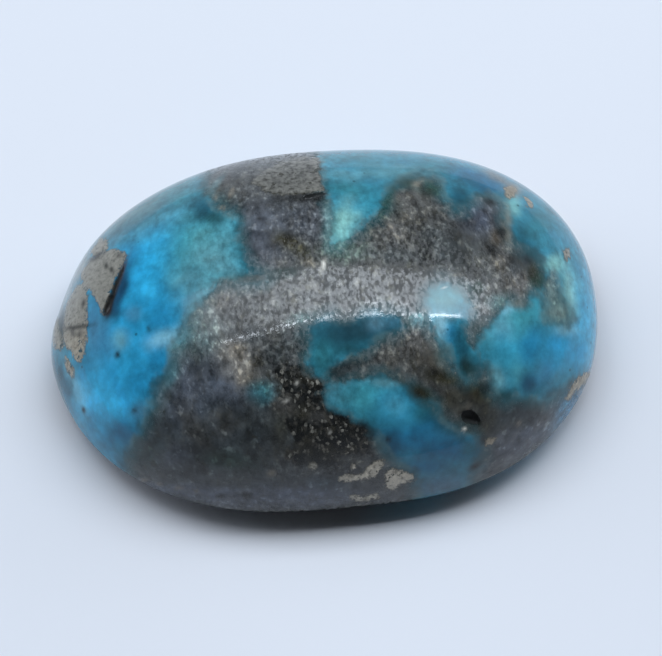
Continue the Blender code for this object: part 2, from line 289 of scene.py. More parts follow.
ROCK_TINTS = (
    # The left.
    ("slate", -5.8, -6.0, 4.2, 2.6, 1.0), ("moss_grey", -7.0, -3.4, 0.3, 1.5, 0.45, -18),
    ("blue_grey", -6.4, -3.6, 1.5, 1.8, 0.6, -20), ("blue_grey", -6.7, -6.9, 0.8, 0.4, 0.5),
    ("green", -4.4, -7.2, 1.3, 0.4, 0.45, -10), ("pine", -8.2, -6.9, 0.7, 0.5, 0.7, 30),
    ("taupe", -6.0, -5.7, 0.5, 0.9, 0.5, 20), ("blue_grey", -4.2, -3.8, 0.9, 0.8, 0.5),
    ("ash", -4.7, -5.5, 0.6, 0.5, 0.3), ("ash", -4.1, -2.4, 0.8, 0.7, 1.0),
    ("sand", -4.3, -2.2, 0.4, 0.35, 0.4), ("sand", -3.5, -3.3, 0.45, 0.45, 0.5),
    ("ash", -5.4, -0.6, 1.1, 1.1, 0.6), ("slate", -4.4, -0.7, 0.5, 0.5, 0.35),
    ("haze", -6.0, -1.4, 0.8, 1.0, 0.5, -25), ("mist", -6.5, -1.5, 0.3, 0.5, 0.6, -20),
    ("mist", -7.05, -3.2, 0.2, 0.6, 0.4, -18), ("umber", -3.0, -2.6, 0.4, 0.25, 0.8, -10),
    ("slate", -2.2, -2.4, 0.6, 0.4, 0.7), ("pine", -1.4, -1.5, 0.9, 0.5, 0.3),
    ("slate", -1.5, -1.5, 0.5, 0.35, 0.7), ("slate", -3.3, -1.4, 0.6, 0.4, 0.5),
    # The haze oval at (-1.1, -0.65) is a painted highlight, lightening the reflected line of light there.
    ("haze", -1.1, -0.65, 0.5, 0.2, 0.5, 10), ("sea", -2.85, -4.05, 0.5, 0.42, 0.6),
    ("olive", -2.0, -5.8, 0.4, 0.9, 0.5), ("slate", -2.0, -8.2, 2.2, 0.5, 0.6),
    ("dusk", 0.1, -8.2, 0.8, 0.4, 0.2), ("char", -0.3, -7.1, 0.9, 0.45, 0.95, -22),
    ("char", 0.7, -7.65, 0.45, 0.25, 0.5), ("char", 1.15, -6.85, 0.5, 0.35, 0.6),
    # These two blue-grey ovals along the lower rim are a painted reflection: the bluish haze of the floor mirrored
    # there.
    ("blue_grey", -5.6, -8.65, 3.0, 0.3, 1.0, -6), ("blue_grey", -1.2, -8.8, 2.8, 0.4, 1.0),
    # The back, left of the wedge.
    ("slate", -4.6, 6.2, 1.6, 0.6, 0.4, 20), ("blue_grey", -2.9, 3.3, 1.2, 1.4, 0.6),
    ("blue_grey", -0.9, 3.8, 0.9, 0.9, 0.5), ("taupe", -5.0, 5.6, 0.6, 0.4, 0.2, 20),
    ("pine", -4.7, 4.7, 0.5, 0.5, 0.6), ("olive", -1.4, 2.6, 0.95, 0.36, 1.0, -38),
    ("olive", -2.0, 3.0, 0.35, 0.25, 0.7), ("sand", -0.7, 1.9, 0.3, 0.15, 0.4, -30),
    ("pine", -2.0, 1.4, 0.7, 0.2, 0.9, 15),
    # Right of the wedge.
    ("taupe", 3.4, 3.6, 1.7, 1.6, 0.3), ("moss_grey", 0.9, 2.4, 0.9, 0.5, 0.75),
    ("haze", 0.1, 3.6, 0.22, 0.9, 0.6), ("green", 2.75, 4.7, 0.22, 0.7, 0.85, -22),
    ("green", 3.5, 5.6, 0.8, 0.25, 0.9, 12), ("green", 4.8, 5.35, 0.55, 0.33, 1.0, -10),
    ("sand", 4.2, 5.6, 0.22, 0.17, 0.8), ("pine", 2.2, 3.7, 0.5, 0.15, 0.6, 38),
    ("pine", 2.9, 4.4, 0.45, 0.45, 0.6), ("ash", 3.1, 3.4, 0.4, 0.4, 0.6), ("slate", 5.0, 3.2, 0.7, 0.6, 0.5),
    ("umber", 3.9, 1.5, 0.9, 0.4, 0.95, -6), ("umber", 2.2, 1.5, 0.9, 0.3, 0.6),
    ("slate", 3.0, 2.2, 1.5, 0.4, 0.7), ("slate", 4.3, 1.3, 0.6, 0.3, 0.6, -10),
    ("slate", 5.9, 2.4, 0.9, 0.7, 0.6), ("blue_grey", 7.0, 4.0, 0.8, 0.7, 0.9),
    ("brown", 7.85, 3.1, 0.3, 0.35, 0.8), ("slate", 9.3, 2.2, 0.75, 0.4, 1.0),
    ("sand", 7.9, 1.95, 0.3, 0.5, 0.3, 20), ("ash", 8.8, 0.8, 0.8, 0.6, 0.9),
    ("haze", 8.0, 0.1, 0.5, 0.35, 0.7), ("sand", 8.3, 3.7, 0.2, 0.9, 0.6, 6),
    ("sand", 8.35, 4.3, 0.15, 0.3, 0.5), ("slate", 8.8, 1.7, 0.4, 0.3, 0.6),
    ("sand", 8.7, 0.0, 0.5, 0.2, 0.4), ("green", 9.65, 1.15, 0.28, 0.55, 1.0),
    ("pine", 6.95, 0.7, 0.25, 0.3, 1.0), ("lichen", 10.6, -0.3, 0.9, 1.3, 1.0),
    # The middle and the front right.
    ("ash", 4.2, -1.5, 0.8, 0.5, 0.8), ("pale", 4.35, -0.65, 0.45, 0.35, 0.7),
    ("taupe", 4.4, -2.3, 1.0, 0.6, 0.5, -20), ("moss_grey", 5.3, -2.4, 0.3, 0.5, 0.2, 20),
    ("taupe", 2.9, -2.3, 0.6, 0.5, 0.3), ("ash", 6.85, -1.2, 0.25, 0.35, 0.4),
    ("olive", 5.35, -3.35, 0.8, 0.35, 0.95, -10), ("green", 4.4, -4.1, 0.45, 0.25, 1.0, -30),
    ("olive", 5.8, -4.4, 0.8, 0.55, 0.65), ("olive", 7.0, -4.1, 0.8, 0.45, 0.95, -30),
    ("olive", 7.0, -5.5, 0.9, 0.6, 0.9), ("olive", 7.5, -5.0, 0.5, 0.6, 0.6),
    ("taupe", 6.5, -4.7, 0.12, 0.35, 0.7, -20), ("slate", 8.8, -5.0, 1.4, 0.8, 1.0, 15),
    ("blue_grey", 9.0, -6.2, 1.6, 0.5, 0.7, 28), ("steel", 11.4, -4.5, 0.5, 1.3, 0.9, -38),
    ("sand", 10.2, -5.2, 0.5, 0.25, 0.2, 35),
)
PYRITE_TINTS = (
    ("grey", 1.8, -8.9, 1.2, 0.35, 0.6), ("sand", 7.5, -6.2, 0.6, 0.5, 1.0),
    ("dull_pyrite", -1.7, 5.8, 2.2, 1.1, 1.0, 10), ("tan_pyrite", 2.4, -8.0, 2.5, 1.2, 1.0),
    ("bone", 2.4, -8.0, 2.2, 1.0, 0.2), ("tan_pyrite", -11.4, -2.2, 0.8, 1.0, 0.8),
    ("tan_pyrite", 8.6, 5.1, 1.2, 0.9, 1.0), ("tan_pyrite", 11.4, -3.8, 1.0, 1.2, 1.0),
)
# What is stored of each mineral's colour: the colour under its tints, and the tints.
TINTS = {
    "turquoise_tint": ("lagoon", TURQUOISE_TINTS),
    "rock_tint": ("grey", ROCK_TINTS),
    "pyrite_tint": ("pyrite", PYRITE_TINTS),
}

# Small marks over every mineral, such as cracks, specks, blots and flecks, and some painted glints and painted
# shade, by colour: the same numbers.
MARKS = {
    # Among the char marks, the long one at (-9.7, 0.4) and the one at (-9.95, -0.25) are painted shade in the
    # crevice beside the left pyrite. The two at y 4.85 are a painted shadow under the top pyrite's lower edge. The
    # rest are dark flecks and blots of the stone.
    "char": (
        (-9.7, 0.4, 0.1, 0.9, 0.95, -16), (-10.35, 2.3, 0.35, 0.07, 0.8, 22), (-9.45, 2.25, 0.09, 0.12, 0.7),
        (-9.95, -0.25, 0.2, 0.3, 0.95, -25), (-10.62, 2.08, 0.24, 0.09, 0.85, 25),
        (-10.02, 1.8, 0.09, 0.16, 0.8, 15), (-9.78, 1.6, 0.09, 0.13, 0.8),
        (-11.08, 0.05, 0.09, 0.2, 0.8, -15), (-11.35, -1.02, 0.6, 0.09, 0.9, 8),
        (-11.55, -1.3, 0.1, 0.16, 0.7), (-11.25, -1.35, 0.1, 0.14, 0.7), (-9.5, -2.3, 0.11, 0.14, 0.95),
        (-11.05, -4.82, 0.1, 0.16, 0.95, 10), (-8.72, -4.85, 0.11, 0.13, 0.7), (2.85, -6.2, 0.11, 0.13, 0.8),
        (-5.62, -7.6, 0.22, 0.16, 0.9, -30), (-3.65, -8.75, 0.3, 0.15, 1.0, -10),
        (-4.8, -8.78, 0.24, 0.1, 0.9), (-1.1, 4.85, 1.0, 0.15, 0.85, 3), (-0.4, 4.85, 0.24, 0.16, 0.95),
        (-1.2, 5.9, 0.09, 0.09, 0.7), (-2.2, 5.6, 0.12, 0.08, 0.7), (-0.75, 6.2, 0.08, 0.1, 0.7),
        (7.55, 2.55, 0.3, 0.22, 0.95, -30), (7.5, 4.68, 0.28, 0.12, 0.8, -25), (8.05, 3.3, 0.22, 0.2, 0.95),
        (7.35, -3.85, 0.26, 0.3, 0.7, -30), (4.35, -4.0, 0.24, 0.26, 0.6, -20),
        (0.0, -7.25, 0.5, 0.28, 0.75, -15), (5.0, -3.1, 0.3, 0.14, 0.6, -20),
        (-2.2, -0.45, 0.25, 0.12, 0.6, -20), (4.95, -3.2, 0.4, 0.18, 0.6), (1.75, -5.75, 0.32, 0.3, 0.7, -30),
        (0.85, -2.9, 0.85, 0.2, 0.75, 14), (6.42, -4.98, 0.24, 0.16, 0.95, -10),
        (6.78, -5.3, 0.34, 0.22, 0.95, -10), (7.2, -6.2, 0.12, 0.22, 0.85), (6.85, -7.4, 0.26, 0.12, 0.9, 30),
    ),
    # Painted shade: reddish-brown darkening along the crevice at the left pyrite's right edge, and in its mouth.
    "rust": (
        (-9.92, -0.2, 0.12, 0.3, 0.9, -16), (-9.3, 1.45, 0.09, 0.8, 0.8, -20),
    ),
    "pyrite": (
        (-11.2, 1.65, 0.26, 0.8, 0.75, -28), (-11.85, 0.45, 0.16, 0.5, 0.5, -22),
    ),
    "pine": (
        (-12.1, -0.6, 0.12, 1.0, 0.8), (-2.0, 1.4, 0.65, 0.2, 0.85, 15), (-3.35, 1.15, 0.5, 0.16, 0.6, 10),
    ),
    "dark_teal": (
        (-8.1, -1.15, 0.1, 0.2, 0.7),
    ),
    "sand": (
        (-2.45, -7.75, 0.18, 0.14, 0.6), (-8.3, -8.05, 0.14, 0.07, 0.6), (-7.6, -8.2, 0.12, 0.07, 0.5),
        (-6.7, -8.4, 0.16, 0.07, 0.6), (-5.9, -8.55, 0.1, 0.08, 0.5), (-4.3, 5.1, 0.09, 0.2, 0.6, -20),
        (-4.75, 4.4, 0.16, 0.08, 0.5), (-5.0, 4.9, 0.1, 0.1, 0.5), (8.35, 3.95, 0.12, 0.7, 0.35, 6),
        (8.7, 0.0, 0.4, 0.15, 0.35), (8.6, 5.28, 0.36, 0.25, 0.7, -20), (8.82, -5.45, 0.1, 0.09, 0.6),
    ),
    "pale": (
        (-6.75, -1.75, 0.1, 0.55, 0.5, -40), (-5.0, 5.5, 0.14, 0.5, 0.25, -35),
    ),
    # The first seven are painted glints, highlights of the light's reflection in the polish. The last four are
    # light grains in the dark rock.
    "bone": (
        (-0.12, 1.76, 0.085, 0.27, 1.0, -14), (5.4, 0.75, 0.08, 0.06, 0.4), (6.9, -0.1, 0.08, 0.1, 0.5),
        (1.45, 1.0, 0.12, 0.1, 0.6, 20), (0.75, 0.95, 0.08, 0.1, 0.4), (-2.4, 0.15, 0.07, 0.2, 0.4),
        (-0.5, 0.85, 0.08, 0.14, 0.4, 20), (-1.8, -4.45, 0.12, 0.07, 0.8, 30),
        (-1.3, -3.6, 0.07, 0.11, 0.6, -20), (0.19, -5.85, 0.07, 0.07, 0.5), (6.35, -5.72, 0.08, 0.08, 0.9),
    ),
    "mint": (
        (0.8, 3.75, 0.32, 0.9, 0.65, -16),
    ),
    "haze": (
        (0.12, 3.7, 0.14, 0.9, 0.5),
    ),
    "green": (
        (6.95, 0.75, 0.24, 0.2, 0.75), (2.75, 4.7, 0.15, 0.6, 0.5, -22), (9.68, 1.05, 0.2, 0.35, 0.9),
    ),
    "olive": (
        (3.5, 5.6, 0.6, 0.2, 0.5, 12), (9.5, 1.45, 0.2, 0.4, 0.85), (4.35, -4.05, 0.45, 0.22, 1.0, -30),
        (5.35, -3.35, 0.6, 0.25, 0.45, -10),
    ),
    "ash": (
        (7.8, 5.85, 0.65, 0.18, 0.75, -28), (-1.8, -4.7, 0.45, 0.4, 0.35), (-0.4, -5.1, 0.4, 0.3, 0.3),
    ),
}

# Soft ovals where the stone is fine and smooth and not coarse and grainy:
# (x, y, half width, half height, degrees of turn if it's turned).
SMOOTH = (
    (-10.7, 0.2, 1.9, 3.2, -10), (-0.7, -6.5, 1.1, 0.7), (6.6, -4.6, 1.6, 0.9, -20),
    (-9.2, -1.5, 2.3, 6.0, -12), (3.2, 6.1, 2.6, 1.3), (-9.0, 4.4, 3.6, 1.1, 34), (8.5, 4.9, 2.5, 1.6, -30),
    (9.6, -2.2, 2.4, 2.2), (4.0, -6.0, 2.6, 2.2, -25), (1.0, -1.3, 1.6, 0.7), (-5.6, -6.1, 3.5, 2.5),
    (-5.6, -3.4, 1.2, 0.9), (-7.3, -3.8, 1.0, 1.5, -20), (-4.3, 5.9, 1.6, 0.5, 14), (-2.9, 3.3, 0.9, 1.2),
    (6.4, 2.9, 0.8, 0.8), (5.3, 0.3, 0.9, 0.7), (7.5, -7.3, 2.6, 0.9, 30), (9.2, 2.1, 0.8, 0.5),
    (10.7, -0.3, 0.9, 1.2), (9.0, -5.6, 2.6, 1.4, 20), (4.9, -2.4, 0.7, 0.5), (0.0, -8.4, 3.0, 0.6),
)

OVAL_FALL = 0.7  # how fast a soft oval fades outwards
OVAL_POWER = 1.3  # and how flat its middle is
FULL_SHIFT_SIZE = 0.6  # mm: ovals at least this far across each way are shifted by the whole wobble
CLEAR_OF_EDGE = 1.0  # mm: distances to an outline are kept up to this

NOISE_SEED = 1795475476  # left unseeded, the wobbles would be other ones on each run
# Wobbles: (waves to a mm, mm).
EDGE_WOBBLE = ((0.8, 0.08), (2.2, 0.05), (4.6, 0.03))  # of the outlines
TINT_WOBBLE = ((0.9, 0.22), (2.0, 0.14))
BACK_WOBBLE = ((0.5, 2.6), (1.3, 1.2))  # of the outlines too, where the stone turns away from the camera

# Where the drawn pattern gives way to the back's own, by how far the stone faces away from the camera (a cosine).
FACING_AWAY = 0.1
FACING_FADE = 0.05
FACING_WOBBLE = ((0.35, 0.3), (1.2, 0.12))
FACING_WOBBLE_RANGE = (-0.05, 0.3)
FLAT_BACK_TOP = 0.01 * MM  # nothing is drawn on the flat back, which is below this

# Red, green and blue of a tinge, as factors of the stone's own.
WARMER_ROCK = (1.10, 1.02, 0.90)
COOLER_ROCK = (0.92, 0.98, 1.05)
LIGHT_GRAINS = (2.8, 2.75, 2.6)
DARK_GRAINS = (0.32, 0.34, 0.34)
GREENER_TURQUOISE = (1.45, 1.03, 0.92)
BLUER_TURQUOISE = (0.66, 0.88, 1.0)

NOISE_ENDS = (0.3, 0.7)  # noise is mostly between these
DRAWN_OUT = (1.0, 0.6, 1.0)  # the grain is longer from front to back
REFRACTIVE_INDEX = 1.51
RELIEF_HEIGHT = 0.001 * MM  # of a relief of 1 in the polish

FLOOR_SIZE = 3.0
FLOOR_DROP = 0.002 * MM  # below the stone's flat back, so that the two don't share a plane
FLOOR_TONES = ((0.78, 0.79, 0.83, 1.0), (0.80, 0.81, 0.85, 1.0))
FLOOR_GLOSS = {"Roughness": 0.7, "Specular IOR Level": 0.2}

LIGHT_HEIGHT = 0.5
LIGHT_COLOUR = (0.83, 0.91, 1.0)
# Level panels over the stone, measured in light heights: a wide softbox, a bright strip along its near edge, a
# short strip, and a fill that leaves no reflection. A panel's radiance fades to its left share at its left end.
PANELS = {
    "softbox": {"middle": (0.16, 0.32), "size": (1.55, 0.40), "turn": -2, "radiance": 5.4, "left_share": 0.14},
    "strip": {"middle": (0.12, 0.10), "size": (1.10, 0.014), "turn": 3, "radiance": 34, "left_share": 0.5},
    "second_strip": {"middle": (0.24, 0.21), "size": (0.22, 0.008), "turn": 2, "radiance": 22.0},
    "fill": {"middle": (-0.5, 0.35), "size": (0.6, 0.5), "turn": 0, "radiance": 3.3, "mirrored": False},
}
PANEL_FADE = 0.5  # the share of its width that it fades over
PANEL_DROP = 0.1  # the share of its depth that it hangs lower by, which keeps the panels off one another
WORLD_COLOUR = (0.80, 0.88, 1.0, 1.0)
# The walls' strength, by how far a direction leans along an axis: (low, high, strength at low, strength at high).
BACK_WALL = (-0.4, 0.5, 0.01, 0.06)  # to the back
BACK_CORNERS = (-0.1, 0.25, 0.0, 2.15)  # to the back
CORNERS_SIDEWAYS = (0.45, 0.8, 0.0, 1.0)  # to either side, as a share of the corners
MIRRORED_WALLS = (0.0, 0.6, 0.53, 0.1)  # upwards


def linear(name):
    """A colour of the palette in Blender's linear values."""
    return np.array([(part / 255 / 12.92) if part <= 10 else ((part / 255 + 0.055) / 1.055) ** 2.4
                     for part in PALETTE[name]])


# The shape.

def outline_reach(angle):
    """How far the widest outline is from the middle, in this direction round from +X."""
    along = np.abs(np.cos(angle) / (LENGTH / 2)) ** OUTLINE_POWER
    across = np.abs(np.sin(angle) / (WIDTH / 2)) ** OUTLINE_POWER
    waves = sum(
        share * np.cos(count * (angle - math.radians(crest))) for count, share, crest in OUTLINE_WAVES
    )
    return (along + across) ** (-1 / OUTLINE_POWER) * (1 + waves)


def unit_vectors(turn, rise):
    """The directions this far round from +X and this far above level."""
    return np.stack([np.cos(rise) * np.cos(turn), np.cos(rise) * np.sin(turn), np.sin(rise)], axis=-1)


def swelling(directions):
    """How far the surface stands out (+) or in (-) from the smooth dome."""
    total = np.zeros(len(directions))
    for turn, rise, spread, height in SWELLINGS:
        centre = unit_vectors(math.radians(turn), math.radians(rise))
        apart = np.degrees(np.arccos(np.clip(directions @ centre, -1, 1)))
        total += height * np.exp(-0.5 * (apart / spread) ** 2)
    return total


def surface_points(directions):
    """The points of the stone's surface in these directions from the girdle's middle."""
    flat = np.hypot(directions[:, 0], directions[:, 1])
    angle = np.arctan2(directions[:, 1] * WIDTH, directions[:, 0] * LENGTH)
    scale = (flat**DOME_POWER + np.abs(directions[:, 2]) ** DOME_POWER) ** (-1 / DOME_POWER)
    reach = outline_reach(angle) * scale * flat
    rise = np.where(directions[:, 2] > 0, HEIGHT - GIRDLE_HEIGHT, BACK_DROP)
    points = np.stack(
        [reach * np.cos(angle), reach * np.sin(angle), GIRDLE_HEIGHT + rise * scale * directions[:, 2]], axis=-1
    )
    return points + directions * swelling(directions)[:, None]


def wrap_directions(sheet):
    """Where the points of a flat sheet, from -1 to 1 each way, are wrapped to: its edge, to the back's rim."""
    u, v = sheet[:, 0], sheet[:, 1]
    out = np.maximum(np.abs(u), np.abs(v))
    with np.errstate(divide="ignore", invalid="ignore"):
        side = math.pi / 4 * v / u + np.where(u < 0, math.pi, 0)
        end = math.pi / 2 - math.pi / 4 * u / v + np.where(v < 0, math.pi, 0)
    turn = np.nan_to_num(np.where(np.abs(u) >= np.abs(v), side, end))
    drop = GIRDLE_HEIGHT / BACK_DROP
    fall = math.atan2(drop, (1 - drop**DOME_POWER) ** (1 / DOME_POWER))
    return unit_vectors(turn, math.pi / 2 - out * (math.pi / 2 + fall))


# The pattern.

def view_axes():
    """The picture plane's right and up, and the way back to the camera."""
    back = unit_vectors(VIEW_AZIMUTH - math.pi / 2, VIEW_ELEVATION)
    right = np.array([math.cos(VIEW_AZIMUTH), math.sin(VIEW_AZIMUTH), 0.0])
    return right, np.cross(back, right), back


def on_picture_plane(points):
    """Where the points show on the picture plane, in mm right and up of the stone's middle."""
    right, up, back = view_axes()
    arms = points - np.array([0.0, 0.0, HEIGHT / 2])
    scale = VIEW_DISTANCE / (VIEW_DISTANCE - arms @ back) / MM
    return np.stack([arms @ right * scale, arms @ up * scale], axis=-1)


def wobble(points, sizes=EDGE_WOBBLE):
    """A small sideways shift for each point, which makes smooth outlines look broken and natural."""
    shift = np.zeros((len(points), 2))
    for waves, size in sizes:
        places = points / MM * waves
        shift += size * np.array([noise.noise_vector(Vector(place)).xy for place in places])
    return shift


def rounded(outline, times=2):
    """The outline with its corners cut off, and then the corners which that leaves."""
    corners = np.array(outline)
    for _ in range(times):
        following = np.roll(corners, -1, axis=0)
        corners = np.stack([0.75 * corners + 0.25 * following, 0.25 * corners + 0.75 * following], axis=1)
        corners = corners.reshape(-1, 2)
    return corners


def depth_inside(places, outline):
    """How deep each place is inside an outline, in mm. Outside it is below 0."""
    corners = rounded(outline)
    depth = np.full(len(places), -CLEAR_OF_EDGE)
    low, high = corners.min(axis=0) - CLEAR_OF_EDGE, corners.max(axis=0) + CLEAR_OF_EDGE
    near = np.all((places > low) & (places < high), axis=1)
    points = places[near]
    nearest = np.full(len(points), np.inf)
    inside = np.zeros(len(points), dtype=bool)
    for start, end in zip(corners, np.roll(corners, -1, axis=0)):
        side = end - start
        share = np.clip((points - start) @ side / (side @ side), 0, 1)
        nearest = np.minimum(nearest, np.hypot(*(points - start - share[:, None] * side).T))
        spans = (start[1] > points[:, 1]) != (end[1] > points[:, 1])
        if side[1] != 0:
            crossing = start[0] + (points[:, 1] - start[1]) * side[0] / side[1]
            inside ^= spans & (points[:, 0] < crossing)
    depth[near] = np.where(inside, nearest, -nearest)
    return np.clip(depth, -CLEAR_OF_EDGE, CLEAR_OF_EDGE)


def depth_in_any(places, outlines):
    return np.max([depth_inside(places, outline) for outline in outlines.values()], axis=0)


def soft_cover(places, x, y, half_width, half_height, turn=0):
    """How much of each place a soft-edged oval covers, from 0 to 1."""
    turned = complex(math.cos(math.radians(turn)), -math.sin(math.radians(turn)))
    arms = ((places[:, 0] - x) + 1j * (places[:, 1] - y)) * turned
    out = (arms.real / half_width) ** 2 + (arms.imag / half_height) ** 2
    return np.exp(-OVAL_FALL * out**OVAL_POWER)


def covers(places, shift, seen, tints):
    """For each tint its colour, and how much of each place it covers. The small ones are shifted less."""
    for name, x, y, half_width, half_height, strength, *turn in tints:
        give = min(1.0, min(half_width, half_height) / FULL_SHIFT_SIZE)
        cover = soft_cover(places + give * shift, x, y, half_width, half_height, *turn)
        yield linear(name), (strength * seen * cover)[:, None]


def tinted(places, shift, seen, base, tints):
    """The base colour with soft tints laid over it where the pattern is drawn."""
    total = np.tile(linear(base), (len(places), 1))
    for tint, cover in covers(places, shift, seen, tints):
        total += cover * (tint - total)
    return total


def marks(places, shift, seen):
    """The colour of the marks at each place, and how much of it they cover."""
    almost_none = 1e-9  # so that a place without marks has a colour too
    total = np.full((len(places), 3), almost_none)
    weight = np.full((len(places), 1), almost_none)
    bare = np.ones((len(places), 1))
    every = [(name, *mark) for name, group in MARKS.items() for mark in group]
    for tint, cover in covers(places, shift, seen, every):
        total += cover * tint
        weight += cover
        bare *= 1 - cover
    return total / weight, 1 - bare[:, 0]


def store(mesh, name, values):
    """Stores one number or one colour for each point of the mesh."""
    kind, field = "FLOAT", "value"
    if values.ndim == 2:
        kind, field = "FLOAT_COLOR", "color"
        values = np.concatenate([values, np.ones((len(values), 1))], axis=1)
    mesh.attributes.new(name, kind, "POINT").data.foreach_set(field, values.astype(np.float32).ravel())


def lay_pattern(mesh, points, normals, pyrite):
    """Stores the drawn pattern on the mesh, and how much of it shows: none on the sides that aren't seen."""
    facing = normals @ view_axes()[2]
    uneven = np.clip(wobble(points, FACING_WOBBLE)[:, 0], *FACING_WOBBLE_RANGE)
    seen = np.clip((facing + FACING_AWAY + uneven) / FACING_FADE, 0, 1)
    seen[points[:, 2] < FLAT_BACK_TOP] = 0.0
    flat = on_picture_plane(points)
    astray = wobble(points, BACK_WOBBLE) * np.clip(-facing / FACING_AWAY, 0, 1)[:, None]
    places = flat + wobble(points) + astray
    shift = wobble(points, TINT_WOBBLE)
    mark, marked = marks(flat, shift, seen)
    values = {
        "seen": seen,
        "turquoise": np.minimum(depth_in_any(places, TURQUOISE), -depth_in_any(places, ROCK_ISLANDS)),
        "pyrite": pyrite,
        "dark": depth_in_any(places, DARK),
        "mark": mark,
        "marked": marked,
        "smooth": np.max([soft_cover(flat + shift, *oval) for oval in SMOOTH], axis=0),
    }
    for name, (base, tints) in TINTS.items():
        values[name] = tinted(flat, shift, seen, base, tints)
    for name, value in values.items():
        store(mesh, name, value)


def positions(shape):
    return np.array([vertex.co[:] for vertex in shape.verts])


def move_to(shape, points):
    for vertex, point in zip(shape.verts, points):
        vertex.co = point


def mesh_from(name, shape):
    mesh = bpy.data.meshes.new(name)
    shape.to_mesh(mesh)
    shape.free()
    return mesh


def cut_finer(shape, pits):
    """Cuts the cells in and round the pits finer."""
    near = set()
    for place, _, (_, _, length, *_) in pits:
        reach = PIT_CUT_REACH * length
        near.update(edge for edge in shape.edges if (edge.verts[0].co - place).length < reach)
    bmesh.ops.subdivide_edges(shape, edges=list(near), cuts=PIT_CUTS, use_grid_fill=True)


def sink(points, place, normal, pit):
    """The points with those inside this pit's mouth sunk to its bowl, whose rim is uneven."""
    _, _, length, width, depth, turn = pit
    level = normal.to_track_quat("Z", "Y").to_matrix() @ Matrix.Rotation(math.radians(turn), 3, "Z")
    local = (points - np.array(place)) @ np.array(level)
    out = (local[:, 0] * 2 / length) ** 2 + (local[:, 1] * 2 / width) ** 2
    on_this_side = np.abs(local[:, 2]) < length / 3
    for index in np.flatnonzero((out < PIT_SEARCH) & on_this_side):
        out[index] *= 1 + PIT_RIM_UNEVENNESS * noise.noise(Vector(points[index] / MM * PIT_RIM_WAVES))
        if out[index] < 1:
            local[index, 2] = min(local[index, 2], -depth * math.sqrt(1 - out[index]))
    return local @ np.array(level).T + np.array(place)


def stone_mesh():
    """The wrapped sheet, finely divided, with its pits sunk and the pattern stored on its points."""
    shape = bmesh.new()
    bmesh.ops.create_grid(shape, x_segments=CELLS_ACROSS, y_segments=CELLS_ACROSS, size=1.0)
    points = surface_points(wrap_directions(positions(shape)))
    points[:, :2] -= (points[:, :2].min(axis=0) + points[:, :2].max(axis=0)) / 2
    points[np.array([vertex.is_boundary for vertex in shape.verts]), 2] = 0.0
    move_to(shape, points)
    shape.normal_update()
    tree = BVHTree.FromBMesh(shape)
    pits = [(*tree.ray_cast((pit[0], pit[1], 2 * HEIGHT), (0, 0, -1))[:2], pit) for pit in PITS.values()]
    pits = [(place, normal * math.copysign(1, normal.z), pit) for place, normal, pit in pits]
    cut_finer(shape, pits)
    bmesh.ops.holes_fill(shape, edges=[edge for edge in shape.edges if edge.is_boundary])
    bmesh.ops.recalc_face_normals(shape, faces=shape.faces)
    shape.normal_update()

    # The pyrite stands proud, but not of the lowest part of the side. The pits are sunk after that.
    points = positions(shape)
    normals = np.array([vertex.normal[:] for vertex in shape.verts])
    pyrite = depth_in_any(on_picture_plane(points) + wobble(points), PYRITE)
    pyrite[normals @ view_axes()[2] < 0] = -CLEAR_OF_EDGE
    proud = np.clip(PROUD_AT_OUTLINE + pyrite / PYRITE_SHOULDER, 0, 1) * np.clip(points[:, 2] / MM, 0, 1)
    points += normals * (PYRITE_PROUD * proud)[:, None]
    level = points
    for place, normal, pit in pits:
        points = sink(points, place, normal, pit)
    move_to(shape, points)
    mesh = mesh_from("stone", shape)
    lay_pattern(mesh, points, normals, pyrite)
    store(mesh, "sunk", np.clip(np.linalg.norm(points - level, axis=1) / PIT_LOOK_DEPTH, 0, 1))
    mesh.shade_smooth()
    mesh.set_sharp_from_angle(angle=SHARP_ANGLE)
    return mesh


# The materials.

